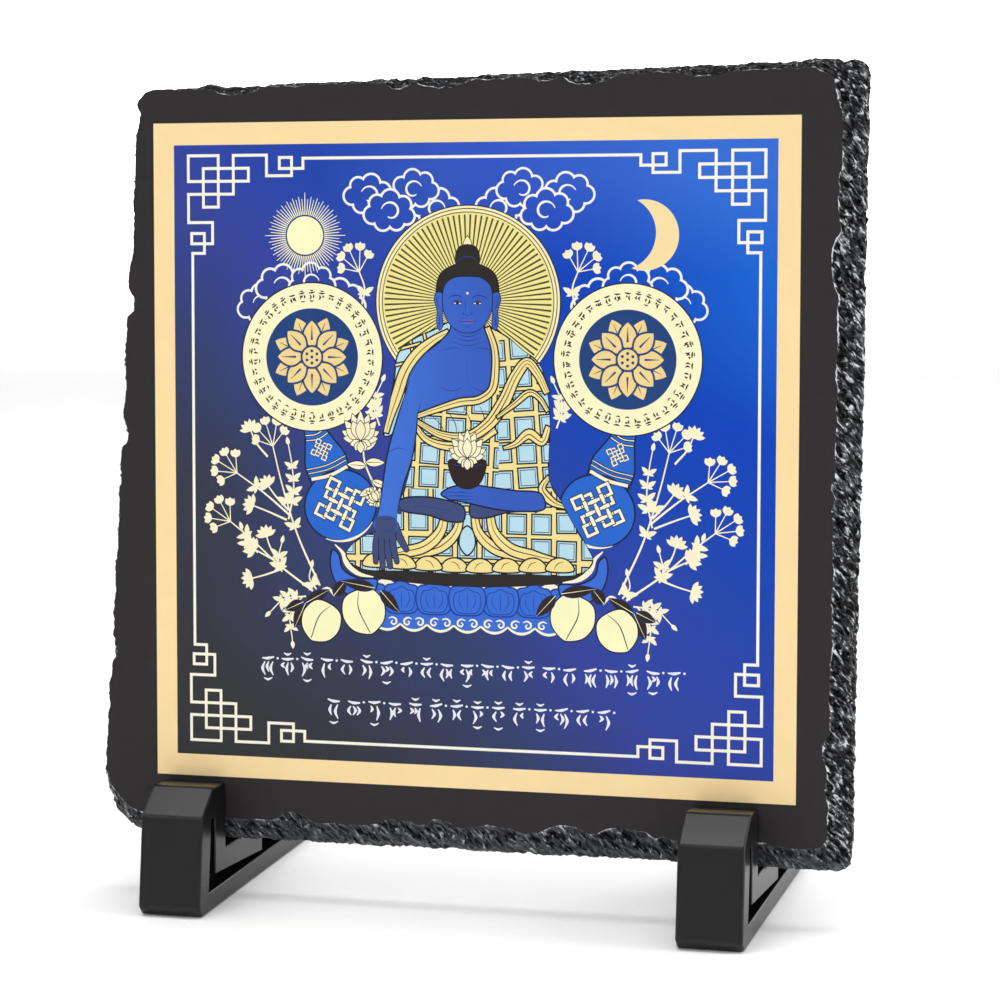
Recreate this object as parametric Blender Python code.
"""A square slate plaque standing in a pair of moulded display feet.

Units are metres and +Z is up. The origin is on the surface that the feet stand on, under the middle of the
plaque: X runs to the right of someone who looks at the picture side, Y runs away from them.
"""
import math
import random

import bmesh
import bpy
from mathutils import Vector, noise

# Slate: the flat face, seen square on
FACE_WIDTH = 0.2004          # at mid height
FACE_HEIGHT = 0.2024         # at mid width
LEFT_SKEW = 0.0120           # the left edge runs outwards by this on its way down
RIGHT_SKEW = 0.0028          # the right edge runs inwards by this on its way down
TOP_SKEW = 0.0031            # the top edge rises by this towards the right
SLATE_THICKNESS = 0.0100

# Slate: how far each chipped edge slopes outwards from the face to the back
LEFT_CHIP_RUN = 0.0012
RIGHT_CHIP_RUN = 0.0055
TOP_LEFT_CHIP_RUN = 0.0006   # of the top edge, where it starts at the left
TOP_RIGHT_CHIP_RUN = 0.0027  # of the top edge, where it ends at the right
BOTTOM_CHIP_RUN = 0.0069

# Slate: corner radii, in the order of the outline
CORNER_TOP_LEFT = 0.0045
CORNER_TOP_RIGHT = 0.0040
CORNER_BOTTOM_RIGHT = 0.0040
CORNER_BOTTOM_LEFT = 0.0135

# Slate: the flakes knocked off along the edge
POINT_SPACING = 0.0022
FLAKE_SHORTEST = 0.0040
FLAKE_LONGEST = 0.0190
FLAKE_DEEPEST = 0.0036
FLAKE_SHALLOWEST = 0.0002
FLAKE_STEEPEST = 0.3         # a flake's greatest depth as a share of its length
FLAKE_RARITY = 2.5           # the higher, the fewer flakes go deep
RIM_WANDER = 0.0005          # of the outer rim, in and out
HOLLOW_DEPTH = 0.0012        # of the broken surface between face and back
HOLLOW_SIZE = 0.0070
SEED = 4

# How the slate stands
LEAN = math.radians(4.35)    # backwards
CLEARANCE = 0.0003           # between the slate and the walls of the slots

# Display feet
FOOT_WIDTH = 0.0180
FOOT_LENGTH = 0.0930
FOOT_INSET = 0.0253          # from the slate's side edge at mid height to the middle of a foot
FOOT_SPACING = FACE_WIDTH - 2 * FOOT_INSET
FEET_OFFSET = -0.0031        # the pair stands this far to one side of the middle
SEAT_HEIGHT = 0.0157         # of the slot's floor where it meets the front wall
SEAT_SETBACK = 0.0223        # from the toe of the foot to that corner
NOSE_HEIGHT = 0.0271         # of the raked front face
NOSE_RAKE = 0.0050           # the front face leans back by this
BROW_RUN = 0.0089            # of the sloping face above it, front to back
BLOCK_HEIGHT = 0.0337        # of the front block, at the top of its brow
STOP_HEIGHT = 0.0278         # of the wall behind the slate
STOP_TOP = 0.0060            # thickness of that wall at its top
TAIL_START = 0.0580          # from the toe to where the tail begins
TAIL_START_HEIGHT = 0.0115
TAIL_END_HEIGHT = 0.0055
TOE_CHAMFER = 0.0026
EDGE_ROUND = 0.0008
EDGE_SEGMENTS = 2

# The hollow in each side of a foot, between its rim and the liner of its slot
WEB_THICKNESS = 0.0050
FRONT_RIM = 0.0069
BASE_BAND = 0.0055
HOLLOW_TOP = 0.0252
LINER_WALL = 0.0083          # in front of the slot
LINER_FLOOR = 0.0065         # under the slot
LINER_REACH = 0.0280         # from the slot's front corner to the liner's rear end
BACK_RIM = 0.0025

OVERCUT = 0.0020             # how far a cutter passes the surface it cuts


def clear_scene():
    """Remove every object, so that the script starts from nothing."""
    for old in list(bpy.data.objects):
        bpy.data.objects.remove(old, do_unlink=True)


def make_material(name, colour, roughness):
    """A plain surface of one colour, with no metal in it."""
    material = bpy.data.materials.new(name)
    material.use_nodes = True
    shader = material.node_tree.nodes["Principled BSDF"]
    shader.inputs["Base Color"].default_value = (*colour, 1.0)
    shader.inputs["Roughness"].default_value = roughness
    shader.inputs["Metallic"].default_value = 0.0
    return material


def add_object(name, mesh_data, material):
    """Link one named piece with its material."""
    mesh = bpy.data.meshes.new(name)
    mesh_data.to_mesh(mesh)
    mesh_data.free()
    piece = bpy.data.objects.new(name, mesh)
    bpy.context.scene.collection.objects.link(piece)
    if material:
        mesh.materials.append(material)
    return piece


# Slate outline

def face_corners():
    """Corners of the flat face, clockwise from the top left, with the lowest edge of the slab at height 0."""
    half = FACE_WIDTH / 2
    low = BOTTOM_CHIP_RUN
    high = low + FACE_HEIGHT
    return [
        Vector((-half + LEFT_SKEW / 2, high - TOP_SKEW / 2)),
        Vector((half + RIGHT_SKEW / 2, high + TOP_SKEW / 2)),
        Vector((half - RIGHT_SKEW / 2, low)),
        Vector((-half - LEFT_SKEW / 2, low)),
    ]


def back_corners():
    """Corners of the back, which is larger than the face by the run of each chipped edge."""
    top_left, top_right, bottom_right, bottom_left = face_corners()
    return [
        top_left + Vector((-LEFT_CHIP_RUN, TOP_LEFT_CHIP_RUN)),
        top_right + Vector((RIGHT_CHIP_RUN, TOP_RIGHT_CHIP_RUN)),
        bottom_right + Vector((RIGHT_CHIP_RUN, -BOTTOM_CHIP_RUN)),
        bottom_left + Vector((-LEFT_CHIP_RUN, -BOTTOM_CHIP_RUN)),
    ]


def middle_x():
    """The middle of the slab's full width, which stands over the origin."""
    across = [corner.x for corner in back_corners()]
    return (min(across) + max(across)) / 2


def rounded_outline(corners, radii, side_counts, arc_counts):
    """A closed outline with rounded corners, sampled with a given count on each side and each arc."""
    starts, ends, centres = [], [], []
    for i, corner in enumerate(corners):
        to_last = (corners[i - 1] - corner).normalized()
        to_next = (corners[(i + 1) % len(corners)] - corner).normalized()
        half_angle = to_last.angle(to_next) / 2
        reach = radii[i] / math.tan(half_angle)
        starts.append(corner + to_last * reach)
        ends.append(corner + to_next * reach)
        centres.append(corner + (to_last + to_next).normalized() * radii[i] / math.sin(half_angle))
    points = []
    for i, centre in enumerate(centres):
        first = starts[i] - centre
        turn = first.angle_signed(ends[i] - centre)
        for step in range(arc_counts[i]):
            angle = turn * step / arc_counts[i]
            spoke = Vector((
                first.x * math.cos(angle) + first.y * math.sin(angle),
                first.y * math.cos(angle) - first.x * math.sin(angle),
            ))
            points.append(centre + spoke)
        following = starts[(i + 1) % len(corners)]
        for step in range(side_counts[i]):
            points.append(ends[i].lerp(following, step / side_counts[i]))
    return points


def sample_counts(corners, radii):
    """How many points each side and each rounded corner gets, from the spacing."""
    sides, arcs = [], []
    for i, corner in enumerate(corners):
        length = (corners[(i + 1) % len(corners)] - corner).length
        sides.append(max(4, round(length / POINT_SPACING)))
        arcs.append(max(3, round(radii[i] * math.pi / 2 / POINT_SPACING)))
    return sides, arcs


def flake_depths(points):
    """How far the face's edge is eaten in at each point, by flakes of seeded length and depth."""
    dice = random.Random(SEED)
    lengths = [(points[(i + 1) % len(points)] - point).length for i, point in enumerate(points)]
    perimeter = sum(lengths)
    flakes = []
    start = 0.0
    while start < perimeter:
        span = dice.uniform(FLAKE_SHORTEST, FLAKE_LONGEST)
        depth = FLAKE_SHALLOWEST + (FLAKE_DEEPEST - FLAKE_SHALLOWEST) * dice.random() ** FLAKE_RARITY
        flakes.append((start, span, min(depth, span * FLAKE_STEEPEST)))
        start += span
    depths = []
    travelled = 0.0
    for length in lengths:
        for start, span, depth in flakes:
            if start <= travelled < start + span:
                share = (travelled - start) / span
                depths.append(depth * math.sin(math.pi * share) ** 0.6)
        travelled += length
    return depths


def outward_directions(points):
    """The outward direction at each point of a closed clockwise outline."""
    directions = []
    for i in range(len(points)):
        along = points[(i + 1) % len(points)] - points[i - 1]
        directions.append(Vector((-along.y, along.x)).normalized())
    return directions


def broken_surface(point, depth_share, outward):
    """How far the broken edge bulges or hollows at a place between the face and the back."""
    place = Vector((point.x, depth_share * SLATE_THICKNESS * 2, point.y)) / HOLLOW_SIZE
    swell = math.sin(math.pi * min(1.0, depth_share * 1.15))
    return outward * (noise.noise(place) * HOLLOW_DEPTH * swell)


def build_slate(material):
    """One slab of slate: a flat face, a flat back and four broken edges that slope out to the back."""
    radii = [CORNER_TOP_LEFT, CORNER_TOP_RIGHT, CORNER_BOTTOM_RIGHT, CORNER_BOTTOM_LEFT]
    sides, arcs = sample_counts(face_corners(), radii)
    shift = Vector((-middle_x(), 0.0))
    face = [p + shift for p in rounded_outline(face_corners(), radii, sides, arcs)]
    back = [p + shift for p in rounded_outline(back_corners(), radii, sides, arcs)]
    outward = outward_directions(face)
    depths = flake_depths(face)
    rings = []
    for depth_share, run_share, eaten in ((0.0, 0.0, 1.0), (0.22, 0.42, 0.75), (0.52, 0.80, 0.35), (0.80, 1.0, 0.1)):
        ring = []
        for i, start in enumerate(face):
            place = start.lerp(back[i], run_share) - outward[i] * depths[i] * eaten
            if depth_share:
                place += broken_surface(place, depth_share, outward[i])
            ring.append((place, depth_share * SLATE_THICKNESS))
        rings.append(ring)
    last = []
    for i, rim in enumerate(back):
        sway = noise.noise(Vector((rim.x, rim.y, 1.0)) / HOLLOW_SIZE) - 1.0
        last.append((rim + outward[i] * sway * RIM_WANDER, SLATE_THICKNESS))
    rings.append(last)

    floor = min(place.y for ring in rings for place, _ in ring)
    slab = bmesh.new()
    layers = [[slab.verts.new((p.x, y, p.y - floor)) for p, y in ring] for ring in rings]
    count = len(face)
    for front, behind in zip(layers, layers[1:]):
        for i in range(count):
            j = (i + 1) % count
            slab.faces.new((front[i], front[j], behind[j], behind[i]))
    slab.faces.new(layers[0])
    slab.faces.new(layers[-1])
    bmesh.ops.triangulate(slab, faces=slab.faces)
    bmesh.ops.recalc_face_normals(slab, faces=slab.faces)
    slate = add_object("slate", slab, material)
    slate.rotation_euler = (-LEAN, 0.0, 0.0)
    slate.location = seat_corner()
    return slate


# Display feet, drawn from the side: Y to the back, Z up

def seat_corner():
    """Where the slate's face and its lowest edge would meet, in the slots of both feet."""
    return Vector((0.0, SEAT_SETBACK - FOOT_LENGTH / 2, SEAT_HEIGHT))


def slot_point(back, up):
    """A point given along the slate's own directions, from the seat corner, as seen from the side."""
    corner = seat_corner()
    return Vector((
        corner.y + back * math.cos(LEAN) + up * math.sin(LEAN),
        corner.z - back * math.sin(LEAN) + up * math.cos(LEAN),
    ))


def meet(first, second):
    """The crossing of two lines, each given by two points."""
    p, q = first
    r, s = second
    along, other = q - p, s - r
    share = (r - p).cross(other) / along.cross(other)
    return p + along * share


def level(height):
    """A level line at a height."""
    return Vector((0.0, height)), Vector((1.0, height))


def shifted(line, distance):
    """A line moved sideways, to the left of its direction."""
    p, q = line
    along = (q - p).normalized()
    side = Vector((-along.y, along.x)) * distance
    return p + side, q + side


def foot_lines():
    """The named lines of a foot's side, from which its outline and its hollow are both drawn."""
    toe = -FOOT_LENGTH / 2
    stop_front = (slot_point(SLATE_THICKNESS + CLEARANCE, 0.0), slot_point(SLATE_THICKNESS + CLEARANCE, 0.01))
    stop_top_back = meet(stop_front, level(STOP_HEIGHT)) + Vector((STOP_TOP, 0.0))
    tail_start = Vector((toe + TAIL_START, TAIL_START_HEIGHT))
    brow_top = Vector((toe + NOSE_RAKE + BROW_RUN, BLOCK_HEIGHT))
    return {
        "nose": (Vector((toe, 0.0)), Vector((toe + NOSE_RAKE, NOSE_HEIGHT))),
        "land": (brow_top, brow_top + Vector((math.cos(LEAN), -math.sin(LEAN)))),
        "slot_front": (slot_point(-CLEARANCE, 0.0), slot_point(-CLEARANCE, 0.01)),
        "slot_floor": (slot_point(0.0, -CLEARANCE), slot_point(0.01, -CLEARANCE)),
        "slot_back": stop_front,
        "buttress": (stop_top_back, tail_start),
        "tail": (tail_start, Vector((toe + FOOT_LENGTH, TAIL_END_HEIGHT))),
    }


def foot_outline():
    """The outer shape of a foot from the side, with the slot that holds the slate."""
    lines = foot_lines()
    toe = -FOOT_LENGTH / 2
    return [
        Vector((toe + TOE_CHAMFER, 0.0)),
        meet(lines["nose"], level(TOE_CHAMFER)),
        lines["nose"][1],
        lines["land"][0],
        meet(lines["slot_front"], lines["land"]),
        meet(lines["slot_front"], lines["slot_floor"]),
        meet(lines["slot_back"], lines["slot_floor"]),
        meet(lines["slot_back"], level(STOP_HEIGHT)),
        lines["buttress"][0],
        lines["buttress"][1],
        lines["tail"][1],
        Vector((toe + FOOT_LENGTH, 0.0)),
    ]


def hollow_outline():
    """The hollow in a foot's side: in front of the slot's liner, under it, and on into the tail."""
    lines = foot_lines()
    front = shifted(lines["nose"], -FRONT_RIM)
    liner_front = shifted(lines["slot_front"], LINER_WALL)
    liner_floor = shifted(lines["slot_floor"], -LINER_FLOOR)
    liner_end = (slot_point(LINER_REACH, 0.0), slot_point(LINER_REACH, -0.01))
    under_buttress = shifted(lines["buttress"], -BACK_RIM)
    under_tail = shifted(lines["tail"], -BACK_RIM)
    return [
        meet(front, level(BASE_BAND)),
        meet(front, level(HOLLOW_TOP)),
        meet(liner_front, level(HOLLOW_TOP)),
        meet(liner_front, liner_floor),
        meet(liner_floor, liner_end),
        meet(liner_end, under_buttress),
        meet(under_buttress, under_tail),
        meet(under_tail, level(BASE_BAND)),
    ]


def side_prism(outline, left, right):
    """A side view pushed through from one X to another, as a closed solid."""
    prism = bmesh.new()
    loop = [prism.verts.new((left, point.x, point.y)) for point in outline]
    face = prism.faces.new(loop)
    pushed = bmesh.ops.extrude_face_region(prism, geom=[face])
    moved = [item for item in pushed["geom"] if isinstance(item, bmesh.types.BMVert)]
    bmesh.ops.translate(prism, verts=moved, vec=(right - left, 0.0, 0.0))
    bmesh.ops.recalc_face_normals(prism, faces=prism.faces)
    return prism


def hollow_cutter(name, side):
    """The cutter for the hollow in one side of a foot, -1 for its left and 1 for its right."""
    inner = side * WEB_THICKNESS / 2
    outer = side * (FOOT_WIDTH / 2 + OVERCUT)
    cutter = add_object(name, side_prism(hollow_outline(), min(inner, outer), max(inner, outer)), None)
    cutter.hide_render = True
    cutter.display_type = "WIRE"
    return cutter


def build_foot(name, middle, material):
    """One moulded foot: a prism with rounded edges and a hollow in each side."""
    body = side_prism(foot_outline(), -FOOT_WIDTH / 2, FOOT_WIDTH / 2)
    foot = add_object(name, body, material)
    rounding = foot.modifiers.new("rounded_edges", "BEVEL")
    rounding.width = EDGE_ROUND
    rounding.segments = EDGE_SEGMENTS
    rounding.limit_method = "ANGLE"
    rounding.angle_limit = math.radians(25)
    for side, word in ((-1, "left"), (1, "right")):
        cutter = hollow_cutter(f"{name}_hollow_{word}", side)
        cutter.parent = foot
        cut = foot.modifiers.new(f"hollow_{word}", "BOOLEAN")
        cut.operation = "DIFFERENCE"
        cut.solver = "EXACT"
        cut.object = cutter
    foot.location = (middle, 0.0, 0.0)
    return foot


def main():
    """Build the slate and its two feet."""
    clear_scene()
    stone = make_material("slate_stone", (0.038, 0.035, 0.036), 0.60)
    plastic = make_material("black_plastic", (0.018, 0.018, 0.020), 0.32)
    build_slate(stone)
    build_foot("foot_left", FEET_OFFSET - FOOT_SPACING / 2, plastic)
    build_foot("foot_right", FEET_OFFSET + FOOT_SPACING / 2, plastic)


main()
